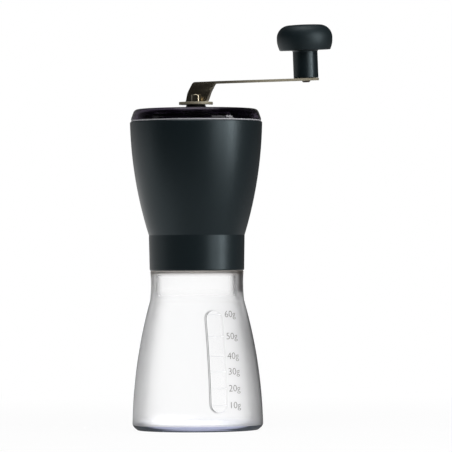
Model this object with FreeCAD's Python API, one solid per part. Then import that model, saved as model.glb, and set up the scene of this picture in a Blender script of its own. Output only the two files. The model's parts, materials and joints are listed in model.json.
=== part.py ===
"""Slim hand coffee mill: a flared jar, a waisted hopper body with conical burrs, a lid and a lift-off crank.

Millimetres. The origin is the middle of the jar's base, +Z is up along the drive shaft, and the crank
points along +X at rest. Every piece is one solid, written to its own file.
"""

import FreeCAD, Part
import math
import os

# Clearances
RUN = 0.05            # radial gap of a shaft in its bush or a pin in its sleeve
SEAT = 0.02           # radial gap of a piece pressed into its seat
FACE = 0.05           # gap between two faces that turn on each other
SLIP = 0.2            # radial gap of covers that are taken off by hand

# Hopper body
body_r = 35.1         # radius at the rim, the mill's widest
body_bow = 2.15       # half way up, the wall stands this far out from a straight one
body_h = 60.15        # from the crease above the collar to the rim
body_wall = 2.2
collar_wall = 1.85
collar_foot_in = 0.35 # the collar's foot is narrower by this much
collar_h = 18.8
housing_wall = 1.5    # tube round the burrs
housing_lift = 3.7    # its lower end over the jar's ledge
housing_roof = 17.2   # depth of the ring gap that takes the jar's neck
funnel_r = 17.8       # opening above the burrs
funnel_h = 8.5
hub_r = 7.0
hub_h = 15.0
hub_gap = 4.5         # from the burr seat up to the hub
rib_t = 2.4
rib_h = 8.0
rib_sink = 0.8        # how far the hub's ribs reach into their slots in the wall
rib_count = 3

# Jar
foot_in = 0.6         # the jar's widest ring lies this far inside the body's rim
foot_h = 3.3
base_in = 1.8         # and the flat disc that the mill stands on this far inside that ring
belly_bow = 2.17      # half way up the flare, it stands this far out from a straight one
flare_h = 68.5        # top of the flare, where the neck starts
neck_h = 15.8         # from there to the ledge that the body stands on
shoulder_in = 0.7     # the ledge's edge lies this far inside the collar
waist_out = 0.2       # the flare's top is this much wider than the ledge
neck_in = 0.25        # and the middle of the neck narrower
jar_wall = 2.1
jar_floor = 3.4
spigot_gap = 0.45     # between the burr housing and the spigot that stands round it
spigot_h = 14.0
spigot_wall = 1.75    # at the root of its thread
thread_depth = 0.65
thread_pitch = 4.5
thread_turns = 1.6

# Scale window on the jar
window_w = 9.4
window_h = 54.6
window_z = 36.2       # height of its middle
window_depth = 0.4
window_angle = 236.5  # degrees round from +X

# Lid
lid_in = 0.5          # the lid's edge lies this far inside the body's rim
lid_h = 6.85
lid_top_in = 1.95     # the lid's flat top ends this far inside its widest ring
lid_top_round = 2.6
lid_side_in = 0.3     # and its side begins to lean in here, this far up
lid_side_h = 2.05
lid_side_round = 2.5
lid_lip_h = 0.8       # under its widest ring it draws in to the rim
lid_lip_in = 0.25
lid_wall = 2.0
lid_skirt_h = 5.5
lid_skirt_wall = 1.4
lid_draft = 0.1       # the skirt's lower end stands this much clearer of the wall
lid_hole_gap = 0.35   # round the shaft collar

# Shaft
shaft_r = 3.5
drive_r = 2.85        # to the corners of the drive
stub_h = 5.4          # height of the drive above the crank's seat
drive_sides = 5
drive_turn = 30.0     # degrees from +X to the drive's first corner
flats = 5.6           # across the two flats in the inner burr
thread_r = 2.5        # threaded lower end
shaft_foot_lift = 0.2 # its lower end over the jar's ledge
seat_above_lid = 2.1  # crank seat over the lid's top
collar_low_r = 5.6    # tapered shaft collar under the crank
collar_top_r = 5.1
collar_below = 2.6    # how far it reaches under the lid's top

# Bushes, clip and spring
bush_r = 5.0
bush_len = 5.0
bush_flange_r = 6.4
bush_flange = 1.2
washer_r = 5.9
washer_t = 0.8
clip_t = 0.8
clip_r = 5.6
clip_groove_r = 2.8
spring_wire = 0.9
spring_r = 4.6        # to the middle of the wire
spring_turns = 4.5

# Burrs
burr_lift = 6.5       # underside of the inner burr over the jar's ledge
burr_h = 14.8
burr_foot_r = 16.6
burr_mid_r = 14.0     # where the fine teeth meet the coarse ones
burr_mid_h = 6.2
burr_top_r = 9.2
burr_hub_r = 7.0
burr_hub_lip = 0.8
spring_pocket_r = 5.4
spring_pocket_h = 9.2
ring_h = 13.4         # outer burr
ring_r = 18.95
ring_foot_r = 17.05
ring_throat_r = 14.9
ring_throat_h = 7.9
ring_top_r = 17.4
ring_lift = 1.0       # its underside over the inner burr's
tooth_count = 12
key_w = 2.6
key_depth = 0.8
retainer_h = 3.3
retainer_r = 17.3

# Grind adjuster
detent_t = 0.5
detent_r = 10.0
nut_h = 5.0
nut_r = 11.6
nut_lobes = 6
nut_scallop_r = 3.4
insert_sides = 6
insert_af = 10.0      # across the flats of the threaded insert
insert_h = 4.0

# Crank
plate_t = 1.4
foot_disc_r = 9.0
arm_reach = 100.0     # from the shaft to the knob pin
arm_tilt = 3.05       # degrees up towards the knob
arm_z = 185.4         # top face, 20 mm out from the shaft
arm_z_at = 20.0
riser_w = 15.0
riser_shift = 1.9     # the riser's middle lies to the +Y side of the shaft
arm_end_w = 14.2
riser_x = 4.0         # middle of the sheet where it turns up
riser_knee = (5.9, 179.2)
riser_top_x = 9.9
fold_r = 1.9          # to the middle of the sheet
knee_r = 9.0
shoulder_fold_r = 3.2

# Knob and its pin
knob_h = 29.7         # from the arm's top face
knob_cap_r = 15.35
knob_cap_h = 14.3
knob_stem_r = 6.85
knob_crown_h = 8.0    # from its widest ring to its top
pin_r = 2.0
pin_head_r = 2.3
pin_head_h = 0.9
pin_len = 24.0        # above the arm
pin_snap_r = 2.6
pin_snap_h = 1.2
pin_washer_r = 5.4
pin_washer_t = 0.4
sleeve_wall = 0.9

# Heights that follow from the sizes above
shoulder_z = flare_h + neck_h
housing_z = shoulder_z + housing_lift
shaft_foot_z = shoulder_z + shaft_foot_lift
burr_z = shoulder_z + burr_lift
collar_top_z = shoulder_z + collar_h
rim_z = collar_top_z + body_h
lid_top_z = rim_z + lid_h
crank_z = lid_top_z + seat_above_lid
ring_z = burr_z + ring_lift
seat_z = ring_z + ring_h
hub_z = seat_z + hub_gap
hub_top_z = hub_z + hub_h
spigot_top_z = shoulder_z + spigot_h

funnel_z = seat_z + 1.0
funnel_top_z = funnel_z + funnel_h

# Radii that follow from the sizes above, from the burrs outwards
housing_bore_r = ring_r + RUN
housing_r = housing_bore_r + housing_wall
spigot_bore_r = housing_r + spigot_gap
spigot_r = spigot_bore_r + spigot_wall
skirt_r = spigot_r + thread_depth + SLIP
collar_r = skirt_r + collar_wall
collar_foot_r = collar_r - collar_foot_in
shoulder_r = collar_r - shoulder_in
neck_r = shoulder_r - neck_in
waist_r = shoulder_r + waist_out
flare_end_r = waist_r - jar_wall
foot_r = body_r - foot_in
base_r = foot_r - base_in
belly_r = (foot_r + waist_r) / 2 + belly_bow
body_mid_r = (collar_r + body_r) / 2 + body_bow
rim_bore_r = body_r - body_wall
lid_r = body_r - lid_in

Z = FreeCAD.Vector(0, 0, 1)
Y = FreeCAD.Vector(0, 1, 0)
ORIGIN = FreeCAD.Vector(0, 0, 0)


def outline(points, plane="XZ"):
    """A closed face. A point is (u, v), (u, v, rounding) or (u, v, (mid u, mid v)) where an arc ends."""
    def place(u, v):
        return FreeCAD.Vector(u, 0, v) if plane == "XZ" else FreeCAD.Vector(u, v, 0)

    spots = [place(*p[:2]) for p in points]
    extra = [p[2] if len(p) > 2 else 0 for p in points]
    starts = list(spots)
    ends = list(spots)
    corners = {}
    for i, size in enumerate(extra):
        if isinstance(size, tuple) or not size:
            continue
        back = (spots[i - 1] - spots[i]).normalize()
        ahead = (spots[(i + 1) % len(spots)] - spots[i]).normalize()
        half = back.getAngle(ahead) / 2
        reach = size / math.tan(half)
        bisector = (back + ahead).normalize()
        middle = spots[i] + bisector * (size / math.sin(half) - size)
        ends[i] = spots[i] + back * reach
        starts[i] = spots[i] + ahead * reach
        corners[i] = Part.Arc(ends[i], middle, starts[i]).toShape()
    edges = []
    for i in range(len(spots)):
        a, b = starts[i - 1], ends[i]
        if isinstance(extra[i], tuple):
            edges.append(Part.Arc(a, place(*extra[i]), b).toShape())
        elif a.distanceToPoint(b) > 1e-6:
            edges.append(Part.LineSegment(a, b).toShape())
        if i in corners:
            edges.append(corners[i])
    return Part.Face(Part.Wire(edges))


def turned(points):
    """A solid of revolution about the shaft's line, from points of radius and height."""
    return outline(points).revolve(ORIGIN, Z, 360)


def tube(inner, outer, low, high):
    """A plain ring between two radii and two heights."""
    return turned([(inner, low), (outer, low), (outer, high), (inner, high)])


def rod(radius, low, high):
    """A plain cylinder on the shaft's line."""
    return Part.makeCylinder(radius, high - low, FreeCAD.Vector(0, 0, low))


def prism(sides, radius, low, high, first=0.0):
    """An upright prism with its first corner at an angle in degrees."""
    turns = [math.radians(first + 360.0 * i / sides) for i in range(sides)]
    face = outline([(radius * math.cos(t), radius * math.sin(t)) for t in turns], "XY")
    face.translate(Z * low)
    return face.extrude(Z * (high - low))


def box(x0, x1, y0, y1, z0, z1):
    """A block between two opposite corners."""
    return Part.makeBox(x1 - x0, y1 - y0, z1 - z0, FreeCAD.Vector(x0, y0, z0))


def spun(shape, angle):
    """A copy turned about the shaft's line."""
    copy = shape.copy()
    copy.rotate(ORIGIN, Z, angle)
    return copy


def copies(shape, count, first=0.0):
    """Copies of a shape, evenly round the shaft's line."""
    return [spun(shape, first + 360.0 * i / count) for i in range(count)]


def bow(low, middle, high):
    """The radius at a height, on the arc through three points of radius and height."""
    (r0, z0), (r1, z1), (r2, z2) = low, middle, high
    d = 2 * (r0 * (z1 - z2) + r1 * (z2 - z0) + r2 * (z0 - z1))
    a, b, c = r0 ** 2 + z0 ** 2, r1 ** 2 + z1 ** 2, r2 ** 2 + z2 ** 2
    cr = (a * (z1 - z2) + b * (z2 - z0) + c * (z0 - z1)) / d
    cz = (a * (r2 - r1) + b * (r0 - r2) + c * (r1 - r0)) / d
    size = math.hypot(r0 - cr, z0 - cz)
    side = 1 if r1 > cr else -1
    return lambda z: cr + side * math.sqrt(size ** 2 - (z - cz) ** 2)


def keyed_rod(radius, across, low, high):
    """A cylinder with two flats."""
    return rod(radius, low, high).common(box(-across / 2, across / 2, -radius, radius, low, high))


def jar_thread():
    """Two coarse thread ridges round the jar's spigot."""
    half_root, half_crest, sink = 1.1, 0.6, 0.3
    start_z = shoulder_z + 2.6
    helix = Part.makeHelix(thread_pitch, thread_pitch * thread_turns, spigot_r)
    section = outline([(spigot_r - sink, -half_root), (spigot_r, -half_root),
                       (spigot_r + thread_depth, -half_crest), (spigot_r + thread_depth, half_crest),
                       (spigot_r, half_root), (spigot_r - sink, half_root)])
    ridge = Part.Wire(helix.Edges).makePipeShell([section.OuterWire], True, True)
    ridge.translate(Z * start_z)
    return ridge


def flare():
    """The jar's outer flare as a radius at each height."""
    return bow((foot_r, foot_h), (belly_r, (foot_h + flare_h) / 2), (waist_r, flare_h))


def grounds_jar():
    """The flared jar: closed floor, bare neck, and a threaded spigot for the collar."""
    radius = flare()
    inner_z = jar_floor + 2.6
    mid_z = (inner_z + flare_h) / 2
    neck_mid_z = (flare_h + shoulder_z) / 2
    jar = turned([
        (0, 0), (base_r, 0),
        (foot_r, foot_h, (base_r + 0.78 * (foot_r - base_r), 0.3 * foot_h)),
        (waist_r, flare_h, (belly_r, (foot_h + flare_h) / 2)),
        (shoulder_r, shoulder_z - 0.5, (neck_r, neck_mid_z)),
        (shoulder_r - 0.4, shoulder_z), (spigot_r, shoulder_z),
        (spigot_r, spigot_top_z - 0.6), (spigot_r - 0.5, spigot_top_z), (spigot_bore_r, spigot_top_z),
        (spigot_bore_r, shoulder_z + 2.0), (neck_r - jar_wall, shoulder_z - 3.0),
        (flare_end_r, flare_h),
        (radius(inner_z) - jar_wall, inner_z, (radius(mid_z) - jar_wall, mid_z)),
        (radius(inner_z) - jar_wall - 2.6, jar_floor,
         (radius(inner_z) - jar_wall - 0.76, jar_floor + 0.76)),
        (0, jar_floor),
    ])
    return jar.fuse(jar_thread()).cut(window_recess()).removeSplitter()


def window_recess():
    """A shallow long pocket with round ends that follows the flare."""
    radius = flare()
    low, high = window_z - window_h / 2, window_z + window_h / 2
    half = window_w / 2
    pill = outline([(-half, low + half), (half, low + half, (0, low)),
                    (half, high - half), (-half, high - half, (0, high))])
    pill = pill.extrude(Y * foot_r)
    skin_low, skin_high = low - 1, high + 1
    mid_z = (skin_low + skin_high) / 2
    floor = radius(mid_z) - window_depth
    skin = turned([
        (radius(skin_low) - window_depth, skin_low, (floor, mid_z)), (foot_r + 1, skin_low),
        (foot_r + 1, skin_high), (radius(skin_high) - window_depth, skin_high),
    ])
    return spun(pill, window_angle - 90).common(skin)


def body_curve():
    """The body's outer wall as a radius at each height."""
    mid_z = (collar_top_z + rim_z) / 2
    return bow((collar_r, collar_top_z), (body_mid_r, mid_z), (body_r, rim_z))


def funnel_top_r():
    """Radius where the funnel meets the hopper's inner wall."""
    return body_curve()(funnel_top_z) - body_wall


def spider_rib(gap, top_z):
    """One rib of the hub along +X, or with a gap round it the slot that takes its end."""
    half = rib_t / 2 + gap
    return box(hub_r - 1, funnel_top_r() + rib_sink + gap, -half, half, hub_z, top_z)


def hopper_body():
    """Hopper wall, funnel, burr housing and collar in one moulding, with slots for the hub's ribs."""
    radius = body_curve()
    mid_z = (collar_top_z + rim_z) / 2
    inner_mid_z = (funnel_top_z + rim_z) / 2
    roof_z = shoulder_z + housing_roof
    body = turned([
        (skirt_r, shoulder_z), (collar_foot_r - 0.45, shoulder_z), (collar_foot_r, shoulder_z + 0.45),
        (collar_r, collar_top_z),
        (radius(rim_z - 0.5), rim_z - 0.5, (radius(mid_z), mid_z)), (body_r - 0.5, rim_z),
        (rim_bore_r, rim_z),
        (funnel_top_r(), funnel_top_z, (radius(inner_mid_z) - body_wall, inner_mid_z)),
        (funnel_r, funnel_z), (funnel_r, seat_z), (housing_bore_r, seat_z),
        (housing_bore_r, housing_z), (housing_r, housing_z),
        (housing_r, roof_z), (skirt_r, roof_z),
    ])
    key = box(housing_bore_r - key_depth, housing_bore_r + 0.4, -key_w / 2, key_w / 2, ring_z, seat_z)
    slot = spider_rib(SEAT, rim_z)
    return body.fuse(copies(key, rib_count)).cut(copies(slot, rib_count, 60)).removeSplitter()


def hub_spider():
    """The shaft's hub on three ribs, which drop into the hopper's slots."""
    ribs = copies(spider_rib(0, hub_z + rib_h), rib_count, 60)
    hub = rod(hub_r, hub_z, hub_top_z).fuse(ribs)
    return hub.cut(rod(bush_r + SEAT, hub_z, hub_top_z)).removeSplitter()


def outer_burr():
    """The fixed ceramic ring, with coarse grooves inside and three slots outside for the housing's keys."""
    ring = turned([
        (ring_foot_r, ring_z), (ring_r, ring_z), (ring_r, seat_z),
        (ring_top_r, seat_z), (ring_throat_r, ring_z + ring_throat_h),
    ])
    half_w = key_w / 2 + RUN
    slot = box(housing_bore_r - key_depth - RUN, ring_r + 1, -half_w, half_w, ring_z, seat_z)
    groove_r = ring_throat_r + 1.3
    groove = prism(3, 1.6, ring_z, seat_z, 0)
    groove.translate(FreeCAD.Vector(groove_r - 1.6, 0, 0))
    groove.rotate(FreeCAD.Vector(groove_r, 0, (ring_z + seat_z) / 2), FreeCAD.Vector(1, 0, 0), 14)
    return ring.cut(copies(slot, rib_count) + copies(groove, tooth_count, 180 / tooth_count))


def inner_burr():
    """The turning ceramic cone, with slanted grooves that run down from its top."""
    top_z = burr_z + burr_h
    cone = turned([
        (burr_hub_r + SEAT, burr_z), (burr_foot_r, burr_z), (burr_foot_r, burr_z + 0.6),
        (burr_mid_r, burr_z + burr_mid_h), (burr_top_r, top_z), (burr_hub_r + SEAT, top_z),
    ])
    lean = math.degrees(math.atan2(burr_foot_r - burr_top_r, burr_h))
    groove = prism(3, 1.9, burr_z + 2.0, top_z + 6.0, 180)
    groove.translate(FreeCAD.Vector(burr_mid_r + 1.0, 0, 0))
    pivot = FreeCAD.Vector(burr_mid_r, 0, burr_z + burr_mid_h)
    groove.rotate(pivot, Y, -lean)
    groove.rotate(pivot, FreeCAD.Vector(1, 0, 0), 16)
    return cone.cut(copies(groove, tooth_count))


def burr_hub():
    """Carrier in the inner burr: two flats for the shaft, and a pocket for the spring."""
    top_z = burr_z + burr_h
    hub = turned([
        (0, burr_z), (burr_hub_r, burr_z), (burr_hub_r, top_z + SEAT),
        (burr_hub_r + 1.2, top_z + SEAT), (burr_hub_r + 1.2, top_z + burr_hub_lip), (0, top_z + burr_hub_lip),
    ])
    hub = hub.cut(rod(spring_pocket_r, top_z + burr_hub_lip - spring_pocket_h, top_z + burr_hub_lip))
    return hub.cut(keyed_rod(shaft_r + RUN, flats + 2 * RUN, burr_z, top_z))


def detent_washer():
    """Keyed washer that the adjuster clicks against."""
    top_z = burr_z - FACE
    low_z = top_z - detent_t
    dimple = Part.makeSphere(0.9, FreeCAD.Vector(detent_r - 1.6, 0, low_z - 0.6))
    washer = rod(detent_r, low_z, top_z).cut(copies(dimple, 12))
    return washer.cut(keyed_rod(shaft_r + RUN, flats + 2 * RUN, low_z, top_z))


def adjuster_top_z():
    """Height of the adjuster's upper face."""
    return burr_z - 2 * FACE - detent_t


def insert_prism(gap, low, high):
    """The insert's six-sided outside, with a flat towards +X."""
    corner_r = insert_af / 2 / math.cos(math.pi / insert_sides) + gap
    return prism(insert_sides, corner_r, low, high, 180 / insert_sides)


def adjuster_nut():
    """Lobed plastic nut that sets the grind, with a six-sided pocket for its insert."""
    top_z = adjuster_top_z()
    low_z = top_z - nut_h
    nut = turned([(0, low_z), (nut_r, low_z, 0.8), (nut_r, top_z, 0.6), (0, top_z)])
    scallop = rod(nut_scallop_r, low_z, top_z)
    scallop.translate(FreeCAD.Vector(nut_r + 0.45 * nut_scallop_r, 0, 0))
    nut = nut.cut(copies(scallop, nut_lobes, 180 / nut_lobes))
    pocket = insert_prism(SEAT, top_z - insert_h - FACE, top_z)
    return nut.cut([pocket, rod(thread_r + 4 * RUN, low_z, top_z)])


def nut_insert():
    """Brass six-sided insert with the adjuster's thread."""
    top_z = adjuster_top_z() - FACE
    insert = insert_prism(0, top_z - insert_h, top_z)
    return insert.cut(rod(thread_r + RUN, top_z - insert_h, top_z))


def burr_retainer():
    """Ring screwed into the housing under the outer burr, with two spanner slots."""
    ring = tube(retainer_r, housing_bore_r - RUN, ring_z - retainer_h, ring_z)
    slot = box(retainer_r - 1, housing_bore_r + 1, -1.2, 1.2, ring_z - retainer_h, ring_z - retainer_h + 1.2)
    return ring.cut(copies(slot, 2, 30))


def bush(low, high, flange_low, flange_high):
    """A flanged plastic bush in the hub."""
    sleeve = tube(shaft_r + RUN, bush_r, low, high)
    return sleeve.fuse(tube(shaft_r + RUN, bush_flange_r, flange_low, flange_high)).removeSplitter()


def upper_bush():
    """Bush at the hub's top, with its flange under the thrust washer."""
    return bush(hub_top_z - bush_len, hub_top_z, hub_top_z, hub_top_z + bush_flange)


def lower_bush():
    """Bush at the hub's lower end, with its flange over the spring."""
    return bush(hub_z, hub_z + bush_len, hub_z - bush_flange, hub_z)


def thrust_washer():
    """Washer that the clip turns on."""
    low = hub_top_z + bush_flange + FACE
    return tube(shaft_r + RUN, washer_r, low, low + washer_t)


def clip_z():
    """Lower face of the clip that carries the shaft."""
    return hub_top_z + bush_flange + washer_t + 2 * FACE


def shaft_clip():
    """Open spring clip in the shaft's groove, which hangs the shaft on the upper bush."""
    low = clip_z()
    ring = tube(clip_groove_r + SEAT, clip_r, low, low + clip_t)
    return ring.cut(box(0, clip_r + 1, -clip_groove_r * 0.8, clip_groove_r * 0.8, low, low + clip_t))


def spring_top_z():
    """Height of the spring's upper end."""
    return hub_z - bush_flange - FACE - washer_t


def spring_washer():
    """Washer between the spring and the lower bush."""
    return tube(shaft_r + RUN, washer_r, spring_top_z(), spring_top_z() + washer_t)


def burr_spring():
    """Compression spring that holds the inner burr down on the adjuster."""
    low = burr_z + burr_h + burr_hub_lip - spring_pocket_h
    length = spring_top_z() - low - spring_wire
    helix = Part.makeHelix(length / spring_turns, length, spring_r)
    ring = Part.Wire(Part.makeCircle(spring_wire / 2, FreeCAD.Vector(spring_r, 0, 0), Y))
    coil = Part.Wire(helix.Edges).makePipeShell([ring], True, True)
    coil.translate(Z * (low + spring_wire / 2))
    return coil


def drive_shaft():
    """Steel shaft: five-sided drive on top, clip groove, two flats for the burr and a threaded foot."""
    top_z = crank_z + stub_h
    neck_z = burr_z - detent_t - 2 * FACE
    burr_top_z = burr_z + burr_h
    shaft = rod(shaft_r, burr_top_z, crank_z)
    groove = tube(clip_groove_r, shaft_r + 1, clip_z() - FACE, clip_z() + clip_t + FACE)
    stub = prism(drive_sides, drive_r, crank_z - 1, top_z, drive_turn)
    tip = turned([(0, crank_z - 1), (drive_r, crank_z - 1), (drive_r, top_z - 0.5), (drive_r - 0.7, top_z),
                  (0, top_z)])
    foot = turned([(0, shaft_foot_z), (thread_r - 0.6, shaft_foot_z), (thread_r, shaft_foot_z + 0.6),
                   (thread_r, neck_z), (0, neck_z)])
    shaft = shaft.fuse([stub.common(tip), keyed_rod(shaft_r, flats, neck_z, burr_top_z), foot])
    return shaft.cut(groove).removeSplitter()


def shaft_collar():
    """Tapered plastic collar on the shaft, which the crank sits on and the lid fits round."""
    low = lid_top_z - collar_below
    return turned([
        (shaft_r + SEAT, low), (collar_low_r, low), (collar_low_r, lid_top_z + 0.4),
        (collar_top_r, crank_z - 0.3), (collar_top_r - 0.3, crank_z), (shaft_r + SEAT, crank_z),
    ])


def lid():
    """Shallow lid with a plug skirt inside the rim and a hole round the shaft collar."""
    hole_r = collar_low_r + lid_hole_gap
    skirt_z = rim_z - lid_skirt_h
    skirt_out = rim_bore_r - SLIP
    skirt_low = body_curve()(skirt_z) - body_wall - SLIP - lid_draft
    skirt_in = skirt_low - lid_skirt_wall
    inner_top = lid_top_z - lid_wall
    return turned([
        (hole_r, lid_top_z, 0.4), (lid_r - lid_top_in, lid_top_z - 0.25, lid_top_round),
        (lid_r - lid_side_in, rim_z + lid_side_h, lid_side_round), (lid_r, rim_z + lid_lip_h),
        (lid_r - lid_lip_in, rim_z), (skirt_out, rim_z), (skirt_low, skirt_z), (skirt_in, skirt_z),
        (skirt_in, inner_top - 2.6), (skirt_in - 2.6, inner_top, (skirt_in - 0.76, inner_top - 0.76)),
        (hole_r + 1.6, inner_top), (hole_r + 1.6, inner_top - 1.4), (hole_r, inner_top - 1.4),
    ])


def arm_top(x):
    """Height of the arm's upper face at a distance from the shaft."""
    return arm_z + (x - arm_z_at) * math.tan(math.radians(arm_tilt))


def strip_section():
    """The crank's bent sheet seen from the side."""
    half = plate_t / 2
    end_x = arm_reach + arm_end_w
    slope = math.radians(arm_tilt)
    mid = [(-foot_disc_r - 1, crank_z + half), (riser_x - 1.4, crank_z + half), riser_knee,
           (riser_top_x, arm_top(riser_top_x) - half / math.cos(slope)),
           (end_x, arm_top(end_x) - half / math.cos(slope))]
    turns = [0, fold_r, knee_r, shoulder_fold_r, 0]
    lean = [0, 1, -1, -1, 0]
    upper, lower = [], []
    for i, (x, z) in enumerate(mid):
        before = math.atan2(z - mid[i - 1][1], x - mid[i - 1][0]) if i else None
        after = math.atan2(mid[i + 1][1] - z, mid[i + 1][0] - x) if i < len(mid) - 1 else before
        before = after if before is None else before
        bisect = (before + after) / 2
        out = half / math.cos((after - before) / 2)
        dx, dz = -math.sin(bisect) * out, math.cos(bisect) * out
        upper.append((x + dx, z + dz, max(turns[i] - lean[i] * half, 0)))
        lower.append((x - dx, z - dz, max(turns[i] + lean[i] * half, 0)))
    return outline(upper + lower[::-1])


def crank_arm():
    """Flat foot on the drive, a bent riser and a long tapered arm, all one sheet."""
    low, high = crank_z - 1, arm_top(arm_reach + arm_end_w) + 1
    wide = 2 * foot_disc_r
    sheet = strip_section()
    sheet.translate(Y * -wide)
    sheet = sheet.extrude(Y * 2 * wide)
    root_x = riser_x - 1.4
    near, far = riser_shift - riser_w / 2, riser_shift + riser_w / 2
    end = arm_end_w / 2
    strip = outline([(root_x - 2, near + 1.2), (root_x + 2, near), (arm_reach, -end),
                     (arm_reach, end, (arm_reach + end, 0)), (root_x + 2, far),
                     (root_x - 2, far - 1.2)], "XY")
    strip.translate(Z * low)
    strip = strip.extrude(Z * (high - low)).common(sheet)
    disc = rod(foot_disc_r, crank_z, crank_z + plate_t)
    notch = box(root_x, foot_disc_r + 1, near - 0.3, far + 1, crank_z - 1, crank_z + plate_t + 1)
    arm = disc.cut(notch).fuse(strip).removeSplitter()
    hole_r = drive_r + RUN / math.cos(math.pi / drive_sides)
    arm = arm.cut(prism(drive_sides, hole_r, crank_z - 1, crank_z + stub_h + 2 * plate_t, drive_turn))
    return arm.cut(at_knob(rod(pin_r + SEAT, -3 * plate_t, plate_t)))


def at_knob(shape):
    """Move a piece from the origin to the arm's upper face at the knob, square to the arm."""
    moved = shape.copy()
    moved.rotate(ORIGIN, Y, -arm_tilt)
    moved.translate(FreeCAD.Vector(arm_reach, 0, arm_top(arm_reach)))
    return moved


def knob_pin():
    """Pin riveted through the arm, with a snap head inside the knob."""
    under = -plate_t - SEAT
    return at_knob(turned([
        (0, under - pin_head_h), (pin_head_r - 0.7, under - pin_head_h), (pin_head_r, under - 0.3),
        (pin_head_r, under), (pin_r, under), (pin_r, pin_len - 0.01),
        (pin_snap_r, pin_len), (pin_snap_r, pin_len + 0.4),
        (pin_r - 0.4, pin_len + pin_snap_h), (0, pin_len + pin_snap_h),
    ]))


def pin_washer():
    """Thin washer between the arm and the knob."""
    return at_knob(tube(pin_r + RUN, pin_washer_r, SEAT, pin_washer_t))


def knob_foot():
    """Height of the knob's underside over the arm."""
    return pin_washer_t + FACE


def knob():
    """Mushroom knob: a plain stem under a broad round-shouldered cap."""
    bore_r = pin_r + RUN + sleeve_wall + SEAT
    foot = knob_foot()
    cap_z = knob_h - knob_cap_h
    widest = knob_h - knob_crown_h
    return at_knob(turned([
        (bore_r, foot), (knob_stem_r, foot, 0.5), (knob_stem_r, cap_z, 0.9),
        (knob_cap_r - 1.0, cap_z, 1.5), (knob_cap_r - 0.62, cap_z + 2.6),
        (knob_cap_r, widest, (knob_cap_r - 0.2, widest - 2.8)),
        (knob_cap_r - 6.6, knob_h - 0.35, (knob_cap_r - 1.75, knob_h - 2.75)),
        (0, knob_h), (0, pin_len + pin_snap_h + 0.5), (bore_r, pin_len + pin_snap_h + 0.5),
    ]))


def knob_sleeve():
    """Sleeve in the knob that turns on the pin, under the pin's snap head."""
    inner = pin_r + RUN
    return at_knob(tube(inner, inner + sleeve_wall, knob_foot(), pin_len - FACE))


PIECES = [
    grounds_jar, hopper_body, hub_spider, outer_burr, burr_retainer, upper_bush, lower_bush, lid,
    drive_shaft, shaft_collar, thrust_washer, shaft_clip, spring_washer, burr_spring,
    inner_burr, burr_hub, detent_washer, adjuster_nut, nut_insert,
    crank_arm, knob_pin, pin_washer, knob, knob_sleeve,
]

os.makedirs("parts", exist_ok=True)
for piece in PIECES:
    shape = piece()
    solids = shape.Solids
    if len(solids) != 1 or not solids[0].isValid():
        raise ValueError(f"{piece.__name__} has {len(solids)} solids")
    solids[0].exportStep(f"parts/{piece.__name__}.step")
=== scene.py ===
import json
import math

import bmesh
import bpy
from bpy.props import FloatProperty, FloatVectorProperty, IntProperty, PointerProperty
from mathutils import Matrix, Vector


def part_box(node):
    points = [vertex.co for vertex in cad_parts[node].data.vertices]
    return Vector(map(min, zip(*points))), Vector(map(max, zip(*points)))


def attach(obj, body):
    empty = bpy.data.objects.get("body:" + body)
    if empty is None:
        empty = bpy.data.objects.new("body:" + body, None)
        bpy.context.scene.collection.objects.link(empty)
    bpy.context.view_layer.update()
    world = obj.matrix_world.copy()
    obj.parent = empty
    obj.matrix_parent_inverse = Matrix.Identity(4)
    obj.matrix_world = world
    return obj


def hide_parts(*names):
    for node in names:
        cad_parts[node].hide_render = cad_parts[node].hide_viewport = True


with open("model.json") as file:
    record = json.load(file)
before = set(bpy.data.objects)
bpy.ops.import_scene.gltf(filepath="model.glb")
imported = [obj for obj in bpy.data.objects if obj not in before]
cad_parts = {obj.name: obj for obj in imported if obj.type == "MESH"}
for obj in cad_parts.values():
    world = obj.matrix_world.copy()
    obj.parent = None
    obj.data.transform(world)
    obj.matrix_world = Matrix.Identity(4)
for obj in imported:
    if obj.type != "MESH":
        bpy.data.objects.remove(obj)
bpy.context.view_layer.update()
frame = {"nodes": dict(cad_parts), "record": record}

bl_info = {
    "name": "Slim Hand Coffee Mill",
    "version": (1, 0, 0),
    "blender": (4, 5, 0),
    "location": "3D View > Sidebar > Coffee Mill",
    "description": "Dresses the packed hand mill: turned shells, moulded scale, bent crank, finishes and studio",
    "category": "Object",
}

MM = 0.001

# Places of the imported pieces, in millimetres
JAR_HIGH, BODY_HIGH, LID_HIGH, COLLAR_HIGH = [
    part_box(node)[1] / MM for node in ("grounds_jar", "hopper_body", "lid", "shaft_collar")]

FOOT_R = JAR_HIGH.x          # the jar's widest ring
SPIGOT_TOP_Z = JAR_HIGH.z
SHOULDER_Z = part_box("hopper_body")[0].z / MM     # ledge that the body stands on
RIM_R = BODY_HIGH.x - 0.01
RIM_Z = BODY_HIGH.z
LID_R = LID_HIGH.x
LID_TOP_Z = LID_HIGH.z
CRANK_Z = COLLAR_HIGH.z      # seat of the crank
LIGHT_LIP_R = LID_R - 0.15        # pale ring under the lid's edge: painted light, standing for light that shines through the lid's clear flange
LIGHT_LIP_TOP_Z = RIM_Z + 0.7

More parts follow.
